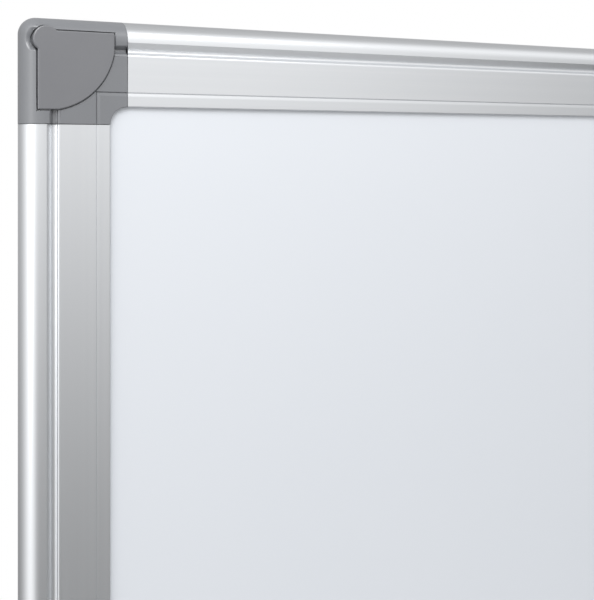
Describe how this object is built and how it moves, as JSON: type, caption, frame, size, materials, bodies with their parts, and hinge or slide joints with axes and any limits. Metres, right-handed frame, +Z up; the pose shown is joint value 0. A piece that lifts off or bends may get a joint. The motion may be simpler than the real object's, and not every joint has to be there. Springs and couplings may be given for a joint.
{
  "type": "magnetic whiteboard",
  "caption": "Framed magnetic whiteboard for a wall, with rounded grey corner mouldings whose quarter-round covers swivel off the wall screws, and a sliding pen tray.",
  "frame": {"origin": "middle of the plane that lies against the wall", "axes": "+X to the viewer's right, +Y into the wall, +Z up; the writing face looks towards -Y"},
  "size_m": [0.9, 0.0661, 0.6015],
  "materials": {
    "white_lacquer": "gloss white lacquer on steel",
    "core_fibre": "raw honeycomb board",
    "galvanised_sheet": "galvanised, matt spangle",
    "anodised_aluminium": "satin silver anodised",
    "grey_moulding": "fine matt grey",
    "zinc_plated_steel": "bright zinc plated"
  },
  "bodies": {
    "frame": {"writing_sheet": "white_lacquer", "core_board": "core_fibre", "backing_sheet": "galvanised_sheet", "rail_top": "anodised_aluminium", "rail_bottom": "anodised_aluminium", "rail_left": "anodised_aluminium", "rail_right": "anodised_aluminium", "corner_top_left": "grey_moulding", "corner_top_right": "grey_moulding", "corner_bottom_left": "grey_moulding", "corner_bottom_right": "grey_moulding", "rail_screw_level_top_left": "zinc_plated_steel", "rail_screw_level_top_right": "zinc_plated_steel", "rail_screw_level_bottom_left": "zinc_plated_steel", "rail_screw_level_bottom_right": "zinc_plated_steel", "rail_screw_upright_top_left": "zinc_plated_steel", "rail_screw_upright_top_right": "zinc_plated_steel", "rail_screw_upright_bottom_left": "zinc_plated_steel", "rail_screw_upright_bottom_right": "zinc_plated_steel"},
    "cover_top_left": {"cover_top_left": "grey_moulding", "cover_screw_top_left": "zinc_plated_steel", "cover_washer_top_left": "zinc_plated_steel"},
    "cover_top_right": {"cover_top_right": "grey_moulding", "cover_screw_top_right": "zinc_plated_steel", "cover_washer_top_right": "zinc_plated_steel"},
    "cover_bottom_left": {"cover_bottom_left": "grey_moulding", "cover_screw_bottom_left": "zinc_plated_steel", "cover_washer_bottom_left": "zinc_plated_steel"},
    "cover_bottom_right": {"cover_bottom_right": "grey_moulding", "cover_screw_bottom_right": "zinc_plated_steel", "cover_washer_bottom_right": "zinc_plated_steel"},
    "tray": {"pen_tray": "anodised_aluminium", "pen_tray_cap_left": "grey_moulding", "pen_tray_cap_right": "grey_moulding"}
  },
  "joints": [
    {"name": "swivel_top_left", "type": "hinge", "parent": "frame", "child": "cover_top_left", "pos_m": [-0.44075, -0.0185, 0.29075], "axis": [0, -1, 0], "range_deg": [0, 110]},
    {"name": "swivel_top_right", "type": "hinge", "parent": "frame", "child": "cover_top_right", "pos_m": [0.44075, -0.0185, 0.29075], "axis": [0, 1, 0], "range_deg": [0, 110]},
    {"name": "swivel_bottom_left", "type": "hinge", "parent": "frame", "child": "cover_bottom_left", "pos_m": [-0.44075, -0.0185, -0.29075], "axis": [0, 1, 0], "range_deg": [0, 110]},
    {"name": "swivel_bottom_right", "type": "hinge", "parent": "frame", "child": "cover_bottom_right", "pos_m": [0.44075, -0.0185, -0.29075], "axis": [0, -1, 0], "range_deg": [0, 110]},
    {"name": "tray_slide", "type": "slide", "parent": "frame", "child": "tray", "axis": [1, 0, 0], "range_m": [-0.25, 0.25]}
  ]
}
